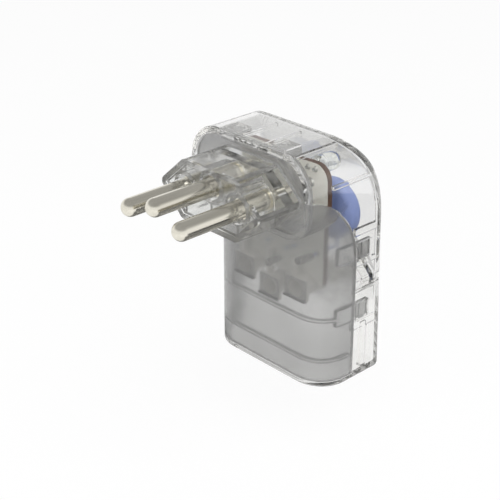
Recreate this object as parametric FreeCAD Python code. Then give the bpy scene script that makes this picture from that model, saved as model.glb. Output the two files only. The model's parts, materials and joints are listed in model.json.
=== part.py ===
import FreeCAD, Part
import math
import os

# Plug-in surge protector for round three-pin wall sockets.
# Lengths are in millimetres. The origin is on the plug face, midway between the line and neutral pins.
# +Y points into the wall, +Z is up, and the user's side with the outlet faces -Y.

V = FreeCAD.Vector

# Cutting tools reach past the surface that they cut, and roots sink into what carries them.
past = 1.0
root = 0.5

# Pins
pin_diameter = 4.8
pin_length = 19.0
pin_spacing = 19.0
earth_offset = 3.0
pin_inner_length = 9.0
shank_diameter = 5.4
shank_setback = 2.0
collar_diameter = 6.2
collar_thickness = 1.2
tail_diameter = 3.0
tail_length = 7.4
tail_cup_depth = 1.8
wire_diameter = 1.8
wire_fit = 0.05

# Hexagonal plug insert
plug_length = 13.2
hex_half_width = 18.4
hex_top = 8.1
hex_top_half = 9.3
hex_bottom = 8.3
hex_bottom_half = 10.2
hex_corner = 1.6
hex_wall = 1.7
hex_face = 1.8
hex_rim_width = 1.5
hex_rim_depth = 0.4
pin_hole_diameter = 7.2
boss_wall = 0.9
boss_length = 7.0
web_thickness = 0.8
flange_width = 1.1
flange_thickness = 1.4
carrier_thickness = 3.0

# Housing
housing_width = 43.2
housing_top = 12.4
housing_bottom = 55.2
step_depth = 6.2
body_depth = 24.2
block_bottom = 10.4
block_overlap = 0.2
block_corner = 8.0
top_corner = 10.2
back_corner = 9.0
front_corner = 3.2
least_corner = 0.5
least_front_corner = 0.8
front_lean = 1.8
front_curve = 27.5
front_curve_start = -9.0
bottom_edge = 0.8
rim_edge = 0.5
wall = 1.7
front_wall = 2.0
floor_wall = 1.6
seam = 0.12

# Joint between the clear shell and the frosted cover
joint_depth = 11.9
joint_arc = 21.5
joint_arc_start = -20.0

# Back plate of the block
plate_inset = 0.6
plate_thickness = 1.6
plate_gap = 0.1
hex_gap = 0.1

# Snap tongues and their pockets
tongue_thickness = 1.2
tongue_gap = 0.15
tongue_reach = 6.6
tongue_root = 5.0
hook_root = 0.1
hook_height = 0.6
hook_length = 3.0
hook_setback = 0.6
pocket_length = 4.8
pocket_depth = 0.9
side_tongue_heights = (-17.8, -35.6)
side_tongue_width = 4.8
top_tongue_spread = 17.4
top_tongue_width = 4.8
top_tongue_reach = 5.4
pocket_play = 0.3

# Ribs. Each side rib has its height, thickness, depth and reach behind the joint.
rib_depth = 0.9
shallow_rib_depth = 0.5
side_ribs = (
    (2.4, 0.8, rib_depth, 8.6),
    (-12.3, 2.0, rib_depth, 0.0),
    (-21.6, 1.3, rib_depth, 0.0),
    (-29.5, 0.8, shallow_rib_depth, 0.0),
    (-39.9, 2.2, rib_depth, 0.0),
)
stop_radius = 9.2
stop_centre = -31.6
stop_thickness = 0.3
stop_slot_height = -26.2
stop_slot_width = 0.8
stop_slot_reach = 5.9
post_depth = 1.4
post_width = 1.9
post_setback = 4.3
top_ribs = ((8.4, 12.2), (28.2, 14.4))
top_rib_width = 0.8
top_rib_depth = 0.8
cover_rib_heights = (-35.9, -48.0)
cover_rib_thickness = 0.8
cover_rib_depth = 1.2

# Posts of the cover that carry the board
post_places = ((0.0, -24.3), (11.1, -19.8), (-11.1, -19.8))
post_diameter = 2.0
board_post_gap = 0.1

# Outlet
outlet_drop = 28.4
recess_depth = 2.2
recess_floor = 1.6
recess_play = 0.4
insert_wall = 1.0
insert_gap = 0.1
insert_skirt = 3.0
entry_chamfer = 0.5
sleeve_wall = 1.0
sleeve_length = 9.0
contact_fit = 0.05
contact_wall = 0.55
contact_gap = 0.3
contact_back_gap = 0.9
contact_slot = 1.2
contact_slot_length = 11.0
foot_width = 7.4
foot_thickness = 0.8
foot_margin = 0.1
foot_lip = 0.7
foot_lip_thickness = 0.5
tab_thickness = 0.8
tab_offset = 2.2
tab_width = 2.4
tab_joint = 2.9
tab_solder = 0.6

# Circuit board
board_side_gap = 6.3
board_thickness = 1.6
board_top = 5.5
board_bottom = -27.0
board_contact_gap = 0.3
board_corner = 4.2
board_distance = 12.4
lead_diameter = 0.8
lead_hole_gap = 0.1
lead_standout = 0.9
lead_root = 0.6
solder_height = 0.6
solder_width = 0.4
component_gap = 0.2

# Surge components
disc_rib_gap = 1.4
disc_middle_gap = 3.2
disc_thickness = 4.4
disc_edge = 1.6
disc_height = -9.4
disc_standoff = 5.0
disc_pitch = 7.0
lead_drop = 0.9
lead_inset = 0.9
small_disc_gap = 0.8
small_disc_thickness = 4.0
small_disc_height = -12.0
small_disc_standoff = 0.8
fuse_diameter = 3.6
fuse_length = 9.0
fuse_pitch = 13.0
fuse_edge = 0.5
fuse_row_gap = 1.2
fuse_column_rise = 1.0
resistor_diameter = 2.3
resistor_length = 6.0
resistor_pitch = 8.0
resistor_edge = 0.6
resistor_inset = 7.8
resistor_drop = 2.0
diode_diameter = 2.6
diode_length = 5.0
diode_pitch = 8.4
diode_edge = 0.3
diode_height = -7.0
diode_inset = 2.1
diode_gap = 0.5
led_diameter = 5.0
led_flange = 0.4
led_flange_thickness = 1.0
led_inset = 5.5
led_drop = 1.5
led_pitch = 2.54
led_standoff = 0.6
led_gap = 0.3

# Derived places
half_width = housing_width / 2
pin_radius = pin_diameter / 2
block_y = -plug_length
back_y = block_y - step_depth
block_end = back_y - back_corner - block_overlap
front_y = back_y - body_depth
top_z = housing_top
bottom_z = -housing_bottom
floor_z = bottom_z + floor_wall
joint_y = back_y - joint_depth
plate_y = block_y - plate_inset
plate_inner_y = plate_y - plate_thickness
cover_inner_y = back_y - wall
board_half = half_width - board_side_gap
board_y = block_y - board_distance
board_front_y = board_y - board_thickness
disc_diameter = half_width - wall - rib_depth - disc_rib_gap - disc_middle_gap / 2
disc_x = (disc_diameter + disc_middle_gap) / 2
diode_x = board_half - diode_inset
fuse_column_x = diode_x - diode_diameter / 2 - diode_gap - fuse_diameter / 2
small_disc_diameter = 2 * (fuse_column_x - fuse_diameter / 2 - small_disc_gap)
fuse_row_z = small_disc_height + small_disc_diameter / 2 + fuse_row_gap + fuse_diameter / 2
led_x = led_inset - board_half
led_z = board_top - led_drop
outlet_z = -outlet_drop
outlet_y = front_y + math.tan(math.radians(front_lean)) * (outlet_z - bottom_z)
recess_y = outlet_y + recess_depth
recess_inner_y = recess_y + recess_floor
pin_places = {
    "line": (pin_spacing / 2, 0.0),
    "neutral": (-pin_spacing / 2, 0.0),
    "earth": (0.0, earth_offset),
}
outlet_places = {name: (x, outlet_z - z) for name, (x, z) in pin_places.items()}
collar_y = -pin_inner_length
carrier_y = collar_y - collar_thickness
tail_y = carrier_y - tail_length


def on_xz(y):
    return lambda u, v: V(u, y, v)


def on_xy(z):
    return lambda u, v: V(u, v, z)


def on_yz(x):
    return lambda u, v: V(x, u, v)


def rounded_face(corners, place):
    """A flat face through corners (u, v, radius), each rounded by a tangent arc."""
    rounds = []
    for i, (u, v, radius) in enumerate(corners):
        here = V(u, v, 0)
        before = V(*corners[i - 1][:2], 0) - here
        after = V(*corners[(i + 1) % len(corners)][:2], 0) - here
        before.normalize()
        after.normalize()
        half = before.getAngle(after) / 2
        inward = before + after
        inward.normalize()
        reach = radius / math.tan(half)
        middle = here + inward * (radius / math.sin(half) - radius)
        rounds.append((here + before * reach, middle, here + after * reach, radius))
    edges = []
    for i, (start, middle, end, radius) in enumerate(rounds):
        if radius > 0:
            edges.append(Part.Arc(*(place(p.x, p.y) for p in (start, middle, end))).toShape())
        following = rounds[(i + 1) % len(rounds)][0]
        if (following - end).Length > 1e-6:
            edges.append(Part.LineSegment(place(end.x, end.y), place(following.x, following.y)).toShape())
    return Part.Face(Part.Wire(edges))


def grown(corners, distance):
    """The convex outline with every side moved out by distance, and its corners kept concentric."""
    result = []
    for i, (u, v, radius) in enumerate(corners):
        here = V(u, v, 0)
        before = V(*corners[i - 1][:2], 0) - here
        after = V(*corners[(i + 1) % len(corners)][:2], 0) - here
        before.normalize()
        after.normalize()
        outward = (before + after) * -1
        outward.normalize()
        moved = here + outward * (distance / math.sin(before.getAngle(after) / 2))
        result.append((moved.x, moved.y, max(radius + distance, 0.0)))
    return result


def prism_y(corners, y_start, y_end):
    return rounded_face(corners, on_xz(y_start)).extrude(V(0, y_end - y_start, 0))


def rod_y(x, z, y_start, y_end, radius):
    low, high = min(y_start, y_end), max(y_start, y_end)
    return Part.makeCylinder(radius, high - low, V(x, low, z), V(0, 1, 0))


def box(x_span, y_span, z_span):
    spans = [sorted(span) for span in (x_span, y_span, z_span)]
    sizes = [high - low for low, high in spans]
    return Part.makeBox(*sizes, V(*(low for low, high in spans)))


def hexagon(up=1):
    """The plug outline. up is 1 for the plug and -1 for the outlet, whose earth hole is below."""
    return [
        (-hex_bottom_half, -hex_bottom * up, hex_corner),
        (hex_bottom_half, -hex_bottom * up, hex_corner),
        (hex_half_width, 0, hex_corner),
        (hex_top_half, hex_top * up, hex_corner),
        (-hex_top_half, hex_top * up, hex_corner),
        (-hex_half_width, 0, hex_corner),
    ]


def outlet_hexagon(distance=0.0):
    return [(u, v + outlet_z, r) for u, v, r in grown(hexagon(-1), distance)]


def block_outline(inset):
    low, high, side = -block_bottom + inset, top_z - inset, half_width - inset
    low_round = max(block_corner - inset, least_corner)
    high_round = max(top_corner - inset, least_corner)
    return [
        (-side, low, low_round),
        (side, low, low_round),
        (side, high, high_round),
        (-side, high, high_round),
    ]


def front_centre():
    """Centre of the arc that the upper front follows, in the side view."""
    lean = math.radians(front_lean)
    start_y = front_y + math.tan(lean) * (front_curve_start - bottom_z)
    return start_y + front_curve * math.cos(lean), front_curve_start - front_curve * math.sin(lean)


def front_surface_y(z, inset=0.0):
    """Depth of the front surface at height z: nearly upright low down, then an arc towards the top."""
    lean = math.radians(front_lean)
    centre_y, centre_z = front_centre()
    radius = front_curve - inset
    if z > centre_z + radius * math.sin(lean):
        return centre_y - math.sqrt(radius ** 2 - (z - centre_z) ** 2)
    return front_y + inset / math.cos(lean) + math.tan(lean) * (z - bottom_z)


def front_profile(inset_front, inset):
    """Side view of the body."""
    high = top_z - inset
    low = bottom_z + inset
    back = back_y - inset
    bend_z = front_centre()[1] + (front_curve - inset_front) * math.sin(math.radians(front_lean))
    points = [V(0, front_surface_y(z, inset_front), z) for z in (low, bend_z, (bend_z + high) / 2, high)]
    corners = [points[3], V(0, back, high), V(0, back, low), points[0], points[1]]
    edges = [Part.Arc(*points[1:]).toShape()]
    for here, there in zip(corners, corners[1:]):
        edges.append(Part.LineSegment(here, there).toShape())
    return Part.Face(Part.Wire(edges))


def front_edges(solid, inset_front):
    """The edges round the front face, apart from the one along the bottom."""
    found = []
    for edge in solid.Edges:
        bounds = edge.BoundBox
        middle = edge.valueAt((edge.FirstParameter + edge.LastParameter) / 2)
        on_front = abs(middle.y - front_surface_y(middle.z, inset_front)) < 1e-3
        along_bottom = bounds.ZLength < 1e-3 and bounds.ZMax < outlet_z
        if on_front and not along_bottom:
            found.append(edge)
    return found


def body_solid(inset=0.0, inset_front=0.0):
    side = half_width - inset
    high_round = max(top_corner - inset, least_corner)
    back_round = max(back_corner - inset, least_corner)
    front_round = max(front_corner - inset, least_front_corner)
    low, high = bottom_z + inset, top_z - inset
    outline = [(-side, low, 0), (side, low, 0), (side, high, high_round), (-side, high, high_round)]
    across = prism_y(outline, back_y + past, front_y - past)
    plan = [
        (-side, front_y - past, 0),
        (side, front_y - past, 0),
        (side, back_y - inset, back_round),
        (-side, back_y - inset, back_round),
    ]
    upright = rounded_face(plan, on_xy(bottom_z - past)).extrude(V(0, 0, top_z - bottom_z + 2 * past))
    lengthwise = front_profile(inset_front, inset)
    lengthwise.translate(V(-half_width - past, 0, 0))
    solid = across.common(upright).common(lengthwise.extrude(V(housing_width + 2 * past, 0, 0))).Solids[0]
    return solid.makeFillet(front_round, front_edges(solid, inset_front))


def envelope():
    body = body_solid()
    low_loop = [e for e in body.Edges if e.BoundBox.ZMax < bottom_z + 1e-3]
    body = body.makeFillet(bottom_edge, low_loop)
    block = prism_y(block_outline(0.0), block_y, block_end)
    rim = [e for e in block.Edges if abs(e.BoundBox.YMin - block_y) < 1e-3]
    block = block.makeFillet(rim_edge, rim)
    return body.fuse(block).removeSplitter()


def cavity():
    block = prism_y(block_outline(wall), block_y + past, block_end)
    body = body_solid(wall, front_wall)
    low = box((-half_width, half_width), (front_y, 0), (bottom_z, floor_z))
    return body.fuse(block).cut(low)


def cover_zone(grow=0.0):
    """Everything that belongs to the frosted cover, seen from the side: below a quarter arc."""
    radius = joint_arc + grow
    centre_y, centre_z = joint_y + joint_arc, joint_arc_start
    low = floor_z + seam - grow
    slope = radius * math.sqrt(0.5)
    start = V(-half_width - past, centre_y - radius, centre_z)
    middle = V(start.x, centre_y - slope, centre_z + slope)
    end = V(start.x, centre_y, centre_z + radius)
    points = [end, V(start.x, 0, end.z), V(start.x, 0, low), V(start.x, start.y, low), start]
    edges = [Part.Arc(start, middle, end).toShape()]
    for here, there in zip(points, points[1:]):
        edges.append(Part.LineSegment(here, there).toShape())
    return Part.Face(Part.Wire(edges)).extrude(V(housing_width + 2 * past, 0, 0))


def side_tongue(height):
    """A tongue on the +X side, with its hook. side_pocket() makes the pocket for the hook."""
    outer = half_width - wall - tongue_gap
    inner = outer - tongue_thickness
    end = joint_y - tongue_reach
    span = (height - side_tongue_width / 2, height + side_tongue_width / 2)
    strip = box((inner, outer), (end, joint_y + tongue_root), span)
    foot = box((inner, half_width - wall / 2), (joint_y, joint_y + tongue_root), span).common(cover_zone())
    hook_end = end + hook_setback
    ramp = [
        (outer - hook_root, hook_end, 0),
        (outer - hook_root, hook_end + hook_length, 0),
        (outer + hook_height, hook_end + hook_length, 0),
        (outer + hook_height, hook_end + hook_length / 2, 0),
    ]
    hook = rounded_face(ramp, on_xy(span[0])).extrude(V(0, 0, side_tongue_width))
    return strip.fuse(foot).fuse(hook)


def side_pocket(height):
    inner = half_width - wall
    end = joint_y - tongue_reach + hook_setback
    half = side_tongue_width / 2 + pocket_play
    x_span = (inner - past, inner + pocket_depth)
    return box(x_span, (end - pocket_play, end + pocket_length), (height - half, height + half))


def top_tongue(x):
    outer = top_z - wall - tongue_gap
    inner = outer - tongue_thickness
    end = plate_inner_y - top_tongue_reach
    half = top_tongue_width / 2
    strip = box((x - half, x + half), (end, plate_inner_y + root), (inner, outer))
    hook_end = end + hook_setback
    ramp = [
        (hook_end, outer - hook_root, 0),
        (hook_end + hook_length, outer - hook_root, 0),
        (hook_end + hook_length, outer + hook_height, 0),
        (hook_end + hook_length / 2, outer + hook_height, 0),
    ]
    hook = rounded_face(ramp, on_yz(x - half)).extrude(V(top_tongue_width, 0, 0))
    return strip.fuse(hook)


def top_pocket(x):
    inner = top_z - wall
    end = plate_inner_y - top_tongue_reach + hook_setback
    half = top_tongue_width / 2 + pocket_play
    z_span = (inner - past, inner + pocket_depth)
    return box((x - half, x + half), (end - pocket_play, end + pocket_length), z_span)


def mirrored(shape):
    return shape.mirror(V(0, 0, 0), V(1, 0, 0))


def both_sides(shapes):
    shapes = list(shapes)
    return shapes + [mirrored(shape) for shape in shapes]


def shell_ribs():
    """Ribs inside the clear shell, on both side walls and under the roof."""
    inner = half_width - wall
    overlap = wall / 2
    front = front_y + front_wall / 2
    back = joint_y - seam
    one_side = []
    for height, thickness, depth, reach in side_ribs:
        span = (height - thickness / 2, height + thickness / 2)
        one_side.append(box((inner - depth, inner + overlap), (front, back + reach), span))
    stop_floor = side_ribs[3][0]
    stop = Part.makeCylinder(
        stop_radius, stop_thickness + overlap, V(inner - stop_thickness, back, stop_centre), V(1, 0, 0)
    )
    stop = stop.common(box((0, half_width), (front, back), (stop_floor, 0)))
    slot_span = (stop_slot_height - stop_slot_width / 2, stop_slot_height + stop_slot_width / 2)
    one_side.append(stop.cut(box((0, inner), (back, back - stop_slot_reach), slot_span)))
    post_y = joint_y - post_setback
    low_rib = side_ribs[4][0]
    post_span = (post_y - post_width, post_y)
    one_side.append(box((inner - post_depth, inner + overlap), post_span, (floor_z - root, low_rib)))
    ribs = both_sides(one_side)
    rib_top = top_z - wall / 2
    rib_bottom = top_z - wall - top_rib_depth
    start = plate_inner_y - seam
    for spread, length in top_ribs:
        into_corner = max(0.0, spread / 2 - half_width + top_corner)
        drop = top_corner - wall - math.sqrt((top_corner - wall) ** 2 - into_corner ** 2)
        for side in (-1, 1):
            x = side * spread / 2
            span = (x - top_rib_width / 2, x + top_rib_width / 2)
            ribs.append(box(span, (start, start - length), (rib_bottom - drop, rib_top - drop)))
    limit = body_solid(wall / 2, front_wall / 2).fuse(prism_y(block_outline(wall / 2), block_y, block_end))
    return [rib.common(limit) for rib in ribs]


def front_shell():
    shell = envelope().cut(cavity()).cut(cover_zone(seam))
    shell = shell.multiFuse(shell_ribs())
    window = prism_y(outlet_hexagon(recess_play + insert_wall + insert_gap), front_y - past, recess_inner_y)
    shell = shell.cut(window)
    pockets = both_sides(side_pocket(height) for height in side_tongue_heights)
    pockets += both_sides([top_pocket(top_tongue_spread / 2)])
    for pocket in pockets:
        shell = shell.cut(pocket)
    return shell.removeSplitter()


def back_cover():
    cover = envelope().cut(cavity()).common(cover_zone())
    inner_plate = prism_y(block_outline(wall + plate_gap), plate_y, plate_inner_y)
    outer_plate = prism_y(block_outline(wall / 2), plate_y, plate_inner_y).common(cover_zone())
    hole = prism_y(grown(hexagon(), hex_gap), plate_y + past, plate_inner_y - past)
    plate = inner_plate.fuse(outer_plate).cut(hole)
    pieces = [plate]
    pieces += both_sides(side_tongue(height) for height in side_tongue_heights)
    pieces += both_sides([top_tongue(top_tongue_spread / 2)])
    lining = body_solid(wall / 2, front_wall).cut(body_solid(wall + cover_rib_depth, front_wall))
    lining = lining.common(cover_zone())
    for height in cover_rib_heights:
        span = (height - cover_rib_thickness / 2, height + cover_rib_thickness / 2)
        slab = box((-half_width, half_width), (joint_y + seam, 0), span)
        pieces.append(lining.common(slab))
    for x, z in post_places:
        pieces.append(rod_y(x, z, cover_inner_y + wall / 2, board_y + board_post_gap, post_diameter / 2))
    return cover.multiFuse(pieces).removeSplitter()


def plug_insert():
    """Hollow hexagonal plug body, with a flange behind the block's plate and a boss round each pin."""
    flange_y = plate_inner_y - hex_gap
    flange_end = flange_y - flange_thickness
    body = prism_y(hexagon(), 0, flange_end)
    flange = prism_y(grown(hexagon(), flange_width), flange_y, flange_end)
    body = body.fuse(flange.common(prism_y(block_outline(wall + hex_gap), flange_y, flange_end)))
    body = body.cut(prism_y(grown(hexagon(), -hex_wall), -hex_face, flange_end - past))
    body = body.cut(prism_y(grown(hexagon(), -hex_rim_width), past, -hex_rim_depth))
    boss_end = -hex_face - boss_length
    hole_radius = pin_hole_diameter / 2
    inside = prism_y(grown(hexagon(), -hex_wall / 2), -hex_face, boss_end)
    inside = inside.fuse(prism_y(grown(hexagon(), -hex_wall), -hex_face / 2, -hex_face))
    for x, z in pin_places.values():
        boss = rod_y(x, z, -hex_face / 2, boss_end, hole_radius + boss_wall)
        web_span = (x - web_thickness / 2, x + web_thickness / 2)
        web = box(web_span, (-hex_face, boss_end), (-hex_bottom, hex_top))
        body = body.fuse(boss.fuse(web).common(inside))
    for x, z in pin_places.values():
        body = body.cut(rod_y(x, z, past, boss_end - past, hole_radius))
    return body.removeSplitter()


def pin_carrier():
    """Plate inside the plug that holds the three pins behind their collars."""
    carrier_end = carrier_y - carrier_thickness
    hole_radius = tail_diameter / 2 + wire_fit
    plate = prism_y(grown(hexagon(), -hex_wall - hex_gap), carrier_y, carrier_end)
    for x, z in pin_places.values():
        plate = plate.cut(rod_y(x, z, carrier_y + past, carrier_end - past, hole_radius))
    return plate


def pin(name):
    x, z = pin_places[name]
    shaft = rod_y(x, z, collar_y, pin_length - pin_radius, pin_radius)
    shank = rod_y(x, z, collar_y, -shank_setback, shank_diameter / 2)
    tip = Part.makeSphere(pin_radius, V(x, pin_length - pin_radius, z))
    collar = rod_y(x, z, carrier_y, collar_y, collar_diameter / 2)
    tail = rod_y(x, z, tail_y, carrier_y, tail_diameter / 2)
    cup = rod_y(x, z, tail_y - past, tail_y + tail_cup_depth, wire_diameter / 2 + wire_fit)
    return shaft.fuse(tip).fuse(shank).fuse(collar).fuse(tail).cut(cup).removeSplitter()


def pin_wire(name):
    x, z = pin_places[name]
    return rod_y(x, z, tail_y + tail_cup_depth, board_front_y - lead_standout, wire_diameter / 2)


def lead(points):
    """A bent wire through the points, with round elbows."""
    radius = lead_diameter / 2
    pieces = []
    for here, there in zip(points, points[1:]):
        step = there - here
        pieces.append(Part.makeCylinder(radius, step.Length, here, step))
    for point in points[1:-1]:
        pieces.append(Part.makeSphere(radius, point))
    return pieces[0].multiFuse(pieces[1:]) if len(pieces) > 1 else pieces[0]


def disc(x, z, diameter, thickness, standoff, pitch):
    """A coated varistor disc that lies flat over the board, with its two leads bent back into it."""
    back = board_front_y - standoff
    body = rod_y(x, z, back - thickness, back, diameter / 2)
    body = body.makeFillet(disc_edge, [e for e in body.Edges if e.Closed and e.BoundBox.YLength < 1e-3])
    lead_y = back - lead_inset
    low = z - diameter / 2 - lead_drop
    leads = []
    for place in (x - pitch / 2, x + pitch / 2):
        top = V(place, lead_y, z - diameter / 4)
        leads.append(lead([top, V(place, lead_y, low), V(place, board_y + lead_standout, low)]))
    return body.multiFuse(leads).removeSplitter()


def disc_lead_places(x, z, diameter, pitch):
    low = z - diameter / 2 - lead_drop
    return [(x - pitch / 2, low), (x + pitch / 2, low)]


def axial(x, z, diameter, length, pitch, direction, edge):
    """A cylindrical component lying on the board, with a lead at each end."""
    centre = V(x, board_front_y - component_gap - diameter / 2, z)
    body = Part.makeCylinder(diameter / 2, length, centre - direction * (length / 2), direction)
    body = body.makeFillet(edge, [e for e in body.Edges if e.Closed])
    leads = []
    for sign in (-1, 1):
        end = centre + direction * (sign * pitch / 2)
        start = centre + direction * (sign * (length / 2 - lead_root))
        leads.append(lead([start, end, V(end.x, board_y + lead_standout, end.z)]))
    return body.multiFuse(leads).removeSplitter()


def axial_lead_places(x, z, pitch, direction):
    return [(x + direction.x * sign * pitch / 2, z + direction.z * sign * pitch / 2) for sign in (-1, 1)]


def indicator_led():
    flange_y = board_front_y - led_standoff
    radius = led_diameter / 2
    dome_y = front_surface_y(led_z, front_wall + led_gap + radius)
    pieces = [
        rod_y(led_x, led_z, flange_y - led_flange_thickness, flange_y, radius + led_flange),
        Part.makeSphere(radius, V(led_x, dome_y, led_z)),
    ]
    for sign in (-1, 1):
        x = led_x + sign * led_pitch / 2
        pieces.append(rod_y(x, led_z, flange_y - lead_root, board_y + lead_standout, lead_diameter / 2))
    return rod_y(led_x, led_z, dome_y, flange_y, radius).multiFuse(pieces).removeSplitter()


def led_lead_places():
    return [(led_x - led_pitch / 2, led_z), (led_x + led_pitch / 2, led_z)]


ALONG_X = V(1, 0, 0)
ALONG_Z = V(0, 0, 1)

# Place, diameter, thickness and standoff of each varistor
small_disc = (small_disc_diameter, small_disc_thickness, small_disc_standoff)
large_disc = (disc_diameter, disc_thickness, disc_standoff)
discs = {
    "varistor_line_neutral": (0.0, small_disc_height, *small_disc),
    "varistor_neutral_earth": (-disc_x, disc_height, *large_disc),
    "varistor_line_earth": (disc_x, disc_height, *large_disc),
}

# Place, diameter, length, lead pitch, direction and edge rounding of each cylindrical component
fuse = (fuse_diameter, fuse_length, fuse_pitch)
resistor = (resistor_diameter, resistor_length, resistor_pitch)
diode = (diode_diameter, diode_length, diode_pitch)
resistor_place = (board_half - resistor_inset, board_top - resistor_drop)
axials = {
    "thermal_fuse_line": (0.0, fuse_row_z, *fuse, ALONG_X, fuse_edge),
    "thermal_fuse_earth": (fuse_column_x, small_disc_height + fuse_column_rise, *fuse, ALONG_Z, fuse_edge),
    "led_resistor": (*resistor_place, *resistor, ALONG_X, resistor_edge),
    "led_diode": (diode_x, diode_height, *diode, ALONG_Z, diode_edge),
}


def lead_places():
    places = led_lead_places()
    for x, z, diameter, thickness, standoff in discs.values():
        places += disc_lead_places(x, z, diameter, disc_pitch)
    for x, z, diameter, length, pitch, direction, edge in axials.values():
        places += axial_lead_places(x, z, pitch, direction)
    return places


def circuit_board():
    """Board with a hole for each lead and wire, and a notch where a contact passes its lower edge."""
    outline = [
        (-board_half, board_bottom, 0),
        (board_half, board_bottom, 0),
        (board_half, board_top, board_corner),
        (-board_half, board_top, board_corner),
    ]
    board = prism_y(outline, board_y, board_front_y)
    holes = [(x, z, lead_diameter / 2) for x, z in lead_places()]
    holes += [(x, z, wire_diameter / 2) for x, z in pin_places.values()]
    drills = []
    for x, z, radius in holes:
        drills.append(rod_y(x, z, board_y + past, board_front_y - past, radius + lead_hole_gap))
    notch_radius = contact_outer() + board_contact_gap
    for x, z in outlet_places.values():
        drills.append(rod_y(x, z, board_y + past, board_front_y - past, notch_radius))
    return board.cut(Part.makeCompound(drills))


def solder_joints():
    """One small cone of solder round each lead, on the back of the board."""
    joints = []
    places = [(x, z, lead_diameter / 2) for x, z in lead_places()]
    places += [(x, z, wire_diameter / 2) for x, z in pin_places.values()]
    for x, z, radius in places:
        cone = Part.makeCone(
            radius + solder_width, radius + solder_width / 4, solder_height, V(x, board_y, z), V(0, 1, 0)
        )
        joints.append(cone.cut(rod_y(x, z, board_y - past, board_y + solder_height + past, radius)))
    for x, z in outlet_places.values():
        low, high = tab_span(x)
        for side, direction in ((low, -1), (high, 1)):
            wedge = [
                (side, board_y, 0),
                (side + direction * tab_solder, board_y, 0),
                (side, board_y + tab_solder, 0),
            ]
            joints.append(rounded_face(wedge, on_xy(tab_joint_low())).extrude(V(0, 0, tab_joint)))
    return Part.makeCompound(joints)


def socket_insert():
    """Outlet insert: a shallow hexagonal recess, its floor with three entries, and a sleeve behind each."""
    outer = outlet_hexagon(recess_play + insert_wall)
    skirt_end = recess_inner_y + insert_skirt
    body = prism_y(outer, front_y, skirt_end).common(body_solid())
    body = body.cut(prism_y(outlet_hexagon(recess_play), front_y - past, recess_y))
    body = body.cut(prism_y(outlet_hexagon(recess_play), recess_inner_y, skirt_end + past))
    sleeve_end = recess_inner_y + sleeve_length
    entry_radius = contact_inner()
    radius = contact_outer() + contact_gap
    for x, z in outlet_places.values():
        body = body.fuse(rod_y(x, z, recess_inner_y, sleeve_end, radius + sleeve_wall))
    for x, z in outlet_places.values():
        body = body.cut(rod_y(x, z, recess_inner_y, sleeve_end + past, radius))
        body = body.cut(rod_y(x, z, recess_y - past, recess_inner_y + past, entry_radius))
        mouth_radius = entry_radius + entry_chamfer
        mouth = Part.makeCone(mouth_radius, entry_radius, entry_chamfer, V(x, recess_y, z), V(0, 1, 0))
        body = body.cut(mouth)
    return body.removeSplitter()


def contact_inner():
    """Radius of the entries and of the contacts behind them."""
    return pin_radius + contact_fit


def contact_outer():
    return contact_inner() + contact_wall


def tab_joint_low():
    """Where the solder of the tabs starts, above the notches of the board."""
    return outlet_z + contact_outer() + board_contact_gap


def tab_span(x):
    """Where the tab of the contact at x lies across the board."""
    return x + tab_offset - tab_thickness / 2, x + tab_offset + tab_thickness / 2


def contact(name):
    """Spring socket: a split tube with a foot plate, and a tab that is soldered to the board."""
    x, z = outlet_places[name]
    start = recess_inner_y + contact_gap
    end = cover_inner_y - contact_back_gap
    body = rod_y(x, z, start, end, contact_outer())
    foot_low = z - contact_outer() - foot_margin
    foot_high = z + contact_outer() + foot_margin
    foot_span = (x - foot_width / 2, x + foot_width / 2)
    foot_y = end - foot_thickness
    body = body.fuse(box(foot_span, (foot_y, end), (foot_low, foot_high)))
    body = body.fuse(box(foot_span, (foot_y, end + foot_lip), (foot_low, foot_low + foot_lip_thickness)))
    tab_top = tab_joint_low() + tab_joint + tab_solder
    body = body.fuse(box(tab_span(x), (board_y, board_y + tab_width), (z, tab_top)))
    body = body.cut(rod_y(x, z, start - past, end + past, contact_inner()))
    slot_span = (x - contact_slot / 2, x + contact_slot / 2)
    slot = box(slot_span, (start - past, start + contact_slot_length), (z - foot_width, z + foot_width))
    return body.cut(slot).removeSplitter()


def save(name, shape):
    shape.exportStep(os.path.join("parts", name + ".step"))


def main():
    os.makedirs("parts", exist_ok=True)
    save("front_shell", front_shell())
    save("back_cover", back_cover())
    save("plug_insert", plug_insert())
    save("pin_carrier", pin_carrier())
    for name in pin_places:
        save(name + "_pin", pin(name))
        save(name + "_wire", pin_wire(name))
        save(name + "_contact", contact(name))
    save("circuit_board", circuit_board())
    save("solder_joints", solder_joints())
    for name, (x, z, diameter, thickness, standoff) in discs.items():
        save(name, disc(x, z, diameter, thickness, standoff, disc_pitch))
    for name, values in axials.items():
        save(name, axial(*values))
    save("indicator_led", indicator_led())
    save("socket_insert", socket_insert())


main()
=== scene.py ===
import json
import math

import bpy
from mathutils import Matrix, Vector

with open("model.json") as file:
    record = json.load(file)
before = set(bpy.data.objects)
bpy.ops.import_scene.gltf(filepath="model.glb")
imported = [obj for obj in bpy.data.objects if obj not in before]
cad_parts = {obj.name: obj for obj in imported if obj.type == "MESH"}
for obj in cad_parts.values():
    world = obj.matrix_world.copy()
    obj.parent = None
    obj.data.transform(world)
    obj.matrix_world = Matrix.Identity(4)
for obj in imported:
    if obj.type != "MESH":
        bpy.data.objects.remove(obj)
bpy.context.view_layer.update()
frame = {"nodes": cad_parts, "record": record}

# Lengths are in metres, as in the frame
MM = 0.001


# Nodes

def node(tree, kind, **values):
    """Adds a node; values are its properties, or its sockets by name with _ for a space."""
    added = tree.nodes.new(kind)
    for key, value in values.items():
        if hasattr(added, key):
            setattr(added, key, value)
        else:
            added.inputs[key.replace("_", " ")].default_value = value
    return added


def find(tree, kind):
    return next(n for n in tree.nodes if n.bl_idname == kind)


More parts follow.
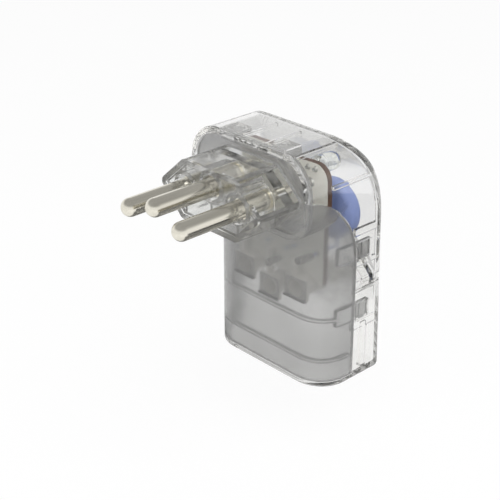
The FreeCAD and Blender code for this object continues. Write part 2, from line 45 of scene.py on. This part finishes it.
def feed(tree, value, socket):
    """Links an output to the socket, or sets it to a plain value."""
    if isinstance(value, bpy.types.NodeSocket):
        tree.links.new(value, socket)
    else:
        socket.default_value = value


def object_coordinates(tree, scale=(1, 1, 1)):
    coordinates = node(tree, "ShaderNodeTexCoord")
    mapping = node(tree, "ShaderNodeMapping", Scale=scale)
    feed(tree, coordinates.outputs["Object"], mapping.inputs["Vector"])
    return mapping.outputs["Vector"]


def coordinate(tree, vector, axis):
    made = node(tree, "ShaderNodeSeparateXYZ")
    feed(tree, vector, made.inputs["Vector"])
    return made.outputs[axis]


def noise(tree, vector, scale, detail):
    made = node(tree, "ShaderNodeTexNoise", Scale=scale, Detail=detail)
    feed(tree, vector, made.inputs["Vector"])
    return made.outputs["Fac"]


def span(tree, value, low, high):
    """Maps 0..1 to low..high."""
    made = node(tree, "ShaderNodeMapRange", To_Min=low, To_Max=high)
    feed(tree, value, made.inputs["Value"])
    return made.outputs["Result"]


def fade(tree, value, start, end):
    """1 at start and 0 at end, level past both; either may be the larger."""
    falls = start < end
    made = node(
        tree, "ShaderNodeMapRange", interpolation_type="SMOOTHSTEP",
        From_Min=min(start, end), From_Max=max(start, end),
        To_Min=1.0 if falls else 0.0, To_Max=0.0 if falls else 1.0,
    )
    feed(tree, value, made.inputs["Value"])
    return made.outputs["Result"]


def dim(tree, value, start, end, least):
    """1 at start and least at end, level past both."""
    return span(tree, fade(tree, value, start, end), least, 1.0)


def arithmetic(tree, operation, first, second=0.0):
    made = node(tree, "ShaderNodeMath", operation=operation)
    feed(tree, first, made.inputs[0])
    feed(tree, second, made.inputs[1])
    return made.outputs["Value"]


def mix(tree, kind, factor, first, second):
    """first where factor is 0 and second where it is 1; kind is FLOAT or RGBA."""
    made = node(tree, "ShaderNodeMix", data_type=kind)
    for name, value in (("Factor", factor), ("A", first), ("B", second)):
        feed(tree, value, made.inputs[name])
    return made.outputs["Result"]


def mix_shaders(tree, factor, first, second):
    made = node(tree, "ShaderNodeMixShader")
    for socket, value in zip(made.inputs, (factor, first, second)):
        feed(tree, value, socket)
    return made.outputs["Shader"]


# Materials

WEAK_NOISE, STRONG_NOISE = 0.35, 0.65
EDGE_TINT = (0.32, 0.31, 0.28)


def material(name):
    made = bpy.data.materials.new(name)
    made.use_nodes = True
    made.node_tree.nodes.clear()
    return made


def principled(tree, colour, **values):
    shader = node(tree, "ShaderNodeBsdfPrincipled", **values)
    shader.inputs["Base Color"].default_value = (*colour, 1)
    output = node(tree, "ShaderNodeOutputMaterial")
    feed(tree, shader.outputs["BSDF"], output.inputs["Surface"])
    return shader


def blend_colours(tree, value, weak, strong):
    """One colour where the noise is weak and the other where it is strong."""
    made = node(tree, "ShaderNodeValToRGB")
    stops = ((WEAK_NOISE, weak), (STRONG_NOISE, strong))
    for element, (position, colour) in zip(made.color_ramp.elements, stops):
        element.position = position
        element.color = (*colour, 1)
    feed(tree, value, made.inputs["Fac"])
    return made.outputs["Color"]


def roughen(tree, shader, value, low, high, height, strength):
    """Varies the roughness from low to high with the noise, and raises bumps by it."""
    feed(tree, span(tree, value, low, high), shader.inputs["Roughness"])
    bump = node(tree, "ShaderNodeBump", Strength=strength, Distance=height)
    feed(tree, value, bump.inputs["Height"])
    feed(tree, bump.outputs["Normal"], shader.inputs["Normal"])


def absorb(tree, density):
    """Darkens light by the length of its way inside the piece, which draws the edges."""
    volume = node(tree, "ShaderNodeVolumeAbsorption", Density=density)
    volume.inputs["Color"].default_value = (*EDGE_TINT, 1)
    output = find(tree, "ShaderNodeOutputMaterial")
    feed(tree, volume.outputs["Volume"], output.inputs["Volume"])


def let_lamps_in(tree, shader, share):
    """Lets that share of the lamps' light through each surface of the piece."""
    open_way = node(tree, "ShaderNodeBsdfTransparent")
    open_way.inputs["Color"].default_value = (share, share, share, 1)
    rays = node(tree, "ShaderNodeLightPath").outputs
    surface = mix_shaders(tree, rays["Is Shadow Ray"], shader.outputs["BSDF"], open_way.outputs["BSDF"])
    output = find(tree, "ShaderNodeOutputMaterial")
    feed(tree, surface, output.inputs["Surface"])


def clear_plastic(name, colour, density=9.0, haze=0.0):
    made = material(name)
    tree = made.node_tree
    shader = principled(tree, colour, Transmission_Weight=1.0, IOR=1.5)
    absorb(tree, density)
    let_lamps_in(tree, shader, share=0.94)
    ripple = noise(tree, object_coordinates(tree), scale=55.0, detail=1.0)
    roughen(tree, shader, ripple, low=haze, high=haze + 0.04, height=0.02 * MM, strength=0.4)
    return made


def frosted_plastic():
    made = material("frosted_plastic")
    tree = made.node_tree
    dark, light = (0.47, 0.47, 0.465), (0.51, 0.51, 0.505)
    shader = principled(tree, dark, Transmission_Weight=0.84, IOR=1.40)
    let_lamps_in(tree, shader, share=0.86)
    where = object_coordinates(tree)
    grain = noise(tree, where, scale=2500.0, detail=2.0)
    cloud = noise(tree, where, scale=60.0, detail=2.0)
    feed(tree, blend_colours(tree, cloud, dark, light), shader.inputs["Base Color"])
    roughen(tree, shader, grain, low=0.24, high=0.28, height=0.03 * MM, strength=0.5)
    return made


def metal(name, light, dark, rough, stretch=(1, 1, 1), scale=300.0):
    made = material(name)
    tree = made.node_tree
    shader = principled(tree, light, Metallic=1.0)
    streak = noise(tree, object_coordinates(tree, stretch), scale, detail=3.0)
    feed(tree, blend_colours(tree, streak, dark, light), shader.inputs["Base Color"])
    roughen(tree, shader, streak, low=rough, high=rough + 0.1, height=0.004 * MM, strength=0.5)
    return made


def plastic(name, light, dark, rough):
    made = material(name)
    tree = made.node_tree
    shader = principled(tree, light)
    grain = noise(tree, object_coordinates(tree), scale=400.0, detail=3.0)
    feed(tree, blend_colours(tree, grain, dark, light), shader.inputs["Base Color"])
    roughen(tree, shader, grain, low=rough, high=rough + 0.12, height=0.02 * MM, strength=0.4)
    return made


def board_laminate():
    """Beige faces and a brown cut edge, told apart by the direction the surface faces."""
    beige, dull_beige = (0.80, 0.79, 0.73), (0.74, 0.73, 0.67)
    brown, dark_brown = (0.12, 0.065, 0.042), (0.07, 0.038, 0.026)
    made = material("board_laminate")
    tree = made.node_tree
    shader = principled(tree, beige)
    fibre = noise(tree, object_coordinates(tree), scale=350.0, detail=4.0)
    face = blend_colours(tree, fibre, dull_beige, beige)
    edge = blend_colours(tree, fibre, dark_brown, brown)
    normal = node(tree, "ShaderNodeNewGeometry").outputs["True Normal"]
    towards_y = arithmetic(tree, "ABSOLUTE", coordinate(tree, normal, "Y"))
    is_face = arithmetic(tree, "GREATER_THAN", towards_y, 0.7)
    feed(tree, mix(tree, "RGBA", is_face, edge, face), shader.inputs["Base Color"])
    feed(tree, span(tree, fibre, low=0.5, high=0.7), shader.inputs["Roughness"])
    return made


def contact_strip():
    """Dull strip with painted shade: a dark band on its lip next to the cover."""
    # Colour of the painted shade on the lip
    dark = (0.03, 0.028, 0.025, 1)
    painted_shade_begins, painted_shade_is_full = -22.1 * MM, -21.9 * MM
    made = metal("contact_bronze", (0.90, 0.88, 0.83), (0.84, 0.82, 0.77), rough=0.4)
    tree = made.node_tree
    shader = find(tree, "ShaderNodeBsdfPrincipled")
    shader.inputs["Metallic"].default_value = 0.12
    strip = shader.inputs["Base Color"].links[0].from_socket
    # Painted shade: the strip darkens across the lip next to the cover, by its Y position
    lip = node(tree, "ShaderNodeMapRange", From_Min=painted_shade_begins, From_Max=painted_shade_is_full)
    feed(tree, coordinate(tree, object_coordinates(tree), "Y"), lip.inputs["Value"])
    feed(tree, mix(tree, "RGBA", lip.outputs["Result"], strip, dark), shader.inputs["Base Color"])
    return made


looks = {
    "clear_plastic": clear_plastic("clear_plastic", (0.985, 0.984, 0.976)),
    "frosted_plastic": frosted_plastic(),
    "smoky_plastic": clear_plastic("smoky_plastic", (0.945, 0.947, 0.94), density=32.0, haze=0.08),
    "nickel_plate": metal(
        "nickel_plate", (0.80, 0.77, 0.68), (0.73, 0.70, 0.61), rough=0.16,
        stretch=(1, 0.05, 1), scale=900.0,
    ),
    "tinned_copper": metal("tinned_copper", (0.78, 0.77, 0.75), (0.68, 0.67, 0.65), rough=0.15),
    "board_laminate": board_laminate(),
    "solder": metal("solder", (0.60, 0.60, 0.57), (0.5, 0.5, 0.48), rough=0.45, scale=900.0),
    "varistor_coating": plastic("varistor_coating", (0.28, 0.35, 0.65), (0.26, 0.33, 0.62), rough=0.45),
    "fuse_case": plastic("fuse_case", (0.74, 0.70, 0.60), (0.70, 0.66, 0.56), rough=0.35),
    "led_lens": clear_plastic("led_lens", (0.93, 0.95, 0.93)),
    "resistor_body": plastic("resistor_body", (0.60, 0.47, 0.28), (0.55, 0.42, 0.24), rough=0.3),
    "diode_body": plastic("diode_body", (0.03, 0.03, 0.03), (0.02, 0.02, 0.02), rough=0.3),
    "contact_bronze": contact_strip(),
}

for entry in frame["record"]["subparts"]:
    thing = frame["nodes"][entry["node"]]
    thing.data.materials.clear()
    thing.data.materials.append(looks[entry["material_slot"]])


# Floor, lamps and cards

FLOOR_Z = -75 * MM
FLOOR_SIZE = 6
MIDDLE = (0, -20 * MM, -20 * MM)


def floor_material():
    """White to the camera, through clear pieces and, from some way off, in mirrors.

    The rest of its colour is lit by the lamps, so it keeps the object's shadow.
    Through clear pieces it is darker past a pool of light, which shades the roof.
    """
    pool_ends, shade_is_full = 0.225, 0.28
    strength_in_pool, strength_past_pool = 1.0, 0.52
    mirror_white_begins, mirror_white_is_full = 0.15, 0.45
    glowing_share = 0.88
    made = material("pale_floor")
    tree = made.node_tree
    grain = noise(tree, object_coordinates(tree), scale=8.0, detail=2.0)
    diffuse = node(tree, "ShaderNodeBsdfDiffuse")
    feed(tree, blend_colours(tree, grain, (0.90, 0.90, 0.90), (0.92, 0.92, 0.92)), diffuse.inputs["Color"])
    length = node(tree, "ShaderNodeVectorMath", operation="LENGTH")
    feed(tree, object_coordinates(tree), length.inputs[0])
    distance = length.outputs["Value"]
    rays = node(tree, "ShaderNodeLightPath").outputs
    past_pool = fade(tree, distance, shade_is_full, pool_ends)
    shaded = arithmetic(tree, "MULTIPLY", rays["Is Transmission Ray"], past_pool)
    glow = node(tree, "ShaderNodeEmission")
    feed(tree, span(tree, shaded, strength_in_pool, strength_past_pool), glow.inputs["Strength"])
    direct = arithmetic(tree, "MAXIMUM", rays["Is Camera Ray"], rays["Is Transmission Ray"])
    some_way_off = fade(tree, distance, mirror_white_is_full, mirror_white_begins)
    mirrored = arithmetic(tree, "MULTIPLY", rays["Is Glossy Ray"], some_way_off)
    share = arithmetic(tree, "MULTIPLY", arithmetic(tree, "MAXIMUM", direct, mirrored), glowing_share)
    surface = mix_shaders(tree, share, diffuse.outputs["BSDF"], glow.outputs["Emission"])
    output = node(tree, "ShaderNodeOutputMaterial")
    feed(tree, surface, output.inputs["Surface"])
    return made


def area_lamp(name, place, size, power):
    data = bpy.data.lights.new(name, "AREA")
    data.shape = "RECTANGLE"
    data.size, data.size_y = size
    data.energy = power
    lamp = bpy.data.objects.new(name, data)
    bpy.context.scene.collection.objects.link(lamp)
    lamp.location = place
    aim = Vector(MIDDLE) - Vector(place)
    lamp.rotation_euler = aim.to_track_quat("-Z", "Y").to_euler()
    lamp.visible_glossy = False


def card(name, shade, place, target, size):
    """A card that only mirrors and clear pieces show, for the dark lines in them."""
    look = material(name)
    principled(look.node_tree, (shade, shade, shade), Roughness=0.9)
    bpy.ops.mesh.primitive_plane_add(size=1, location=place)
    made_card = bpy.context.object
    made_card.name = name
    made_card.scale = (*size, 1)
    aim = Vector(target) - Vector(place)
    made_card.rotation_euler = aim.to_track_quat("Z", "Y").to_euler()
    made_card.data.materials.append(look)
    made_card.visible_camera = False
    made_card.visible_diffuse = False
    made_card.visible_shadow = False
    return made_card


bpy.ops.mesh.primitive_plane_add(size=FLOOR_SIZE, location=(0, 0, FLOOR_Z))
floor = bpy.context.object
floor.name = "floor"
floor.data.materials.append(floor_material())

area_lamp("key", place=(-0.55, 0.25, 0.85), size=(1.1, 1.1), power=8.0)
area_lamp("fill", place=(-0.1, 0.9, 0.35), size=(1.0, 0.7), power=4.0)

card("card_low", shade=0.01, place=(-0.085, -0.09, -0.065), target=(0, 0, 0), size=(0.11, 0.05))

# Greys the undersides of the pins and isn't seen through clear pieces
under = card(
    "card_under", shade=0.2, place=(-0.02, -0.05, FLOOR_Z + 3 * MM), target=(-0.02, -0.05, 0),
    size=(0.16, 0.12),
)
under.visible_transmission = False


# World

def studio_world():
    """White to the camera; mirrors and clear pieces see it darker overhead than low down."""
    on_the_object = 0.55
    to_the_camera = 1.0
    world = bpy.data.worlds.new("studio")
    world.use_nodes = True
    tree = world.node_tree
    tree.nodes.clear()
    direction = node(tree, "ShaderNodeTexCoord").outputs["Generated"]
    height = coordinate(tree, direction, "Z")
    mirrored = dim(tree, height, start=0.2, end=0.62, least=0.4)
    up_the_sides = dim(tree, height, start=0.1, end=0.45, least=0.62)
    overhead = dim(tree, height, start=0.6, end=0.85, least=0.1)
    seen_through = arithmetic(tree, "MULTIPLY", up_the_sides, overhead)
    rays = node(tree, "ShaderNodeLightPath").outputs
    strength = mix(tree, "FLOAT", rays["Is Glossy Ray"], on_the_object, mirrored)
    strength = mix(tree, "FLOAT", rays["Is Transmission Ray"], strength, seen_through)
    strength = mix(tree, "FLOAT", rays["Is Camera Ray"], strength, to_the_camera)
    background = node(tree, "ShaderNodeBackground", Color=(1, 1, 1, 1))
    feed(tree, strength, background.inputs["Strength"])
    output = node(tree, "ShaderNodeOutputWorld")
    feed(tree, background.outputs["Background"], output.inputs["Surface"])
    return world


bpy.context.scene.world = studio_world()


# Camera, fitted to the photo

SENSOR_WIDTH = 36.0
PHOTO_WIDTH_PX = 500.0


def place_camera(azimuth, elevation, distance, across, up, focal_px):
    """Angles in degrees; distance, across and up in millimetres from the frame's origin."""
    a, e = math.radians(azimuth), math.radians(elevation)
    back = Vector((math.sin(a) * math.cos(e), -math.cos(a) * math.cos(e), math.sin(e)))
    right = (-back).cross(Vector((0, 0, 1))).normalized()
    top = right.cross(-back)
    data = bpy.data.cameras.new("camera")
    data.sensor_width = SENSOR_WIDTH
    data.lens = focal_px * SENSOR_WIDTH / PHOTO_WIDTH_PX
    data.clip_start = 10 * MM
    camera = bpy.data.objects.new("camera", data)
    bpy.context.scene.collection.objects.link(camera)
    turn = Matrix((right, top, back)).transposed().to_4x4()
    place = back * distance + right * across + top * up
    camera.matrix_world = Matrix.Translation(place * MM) @ turn
    bpy.context.scene.camera = camera


place_camera(azimuth=226.64, elevation=26.04, distance=286.44, across=10.26, up=-12.31, focal_px=1170.57)

scene = bpy.context.scene
scene.view_settings.view_transform = "Standard"
scene.cycles.max_bounces = 48
scene.cycles.glossy_bounces = 24
scene.cycles.transmission_bounces = 48
scene.cycles.transparent_max_bounces = 16
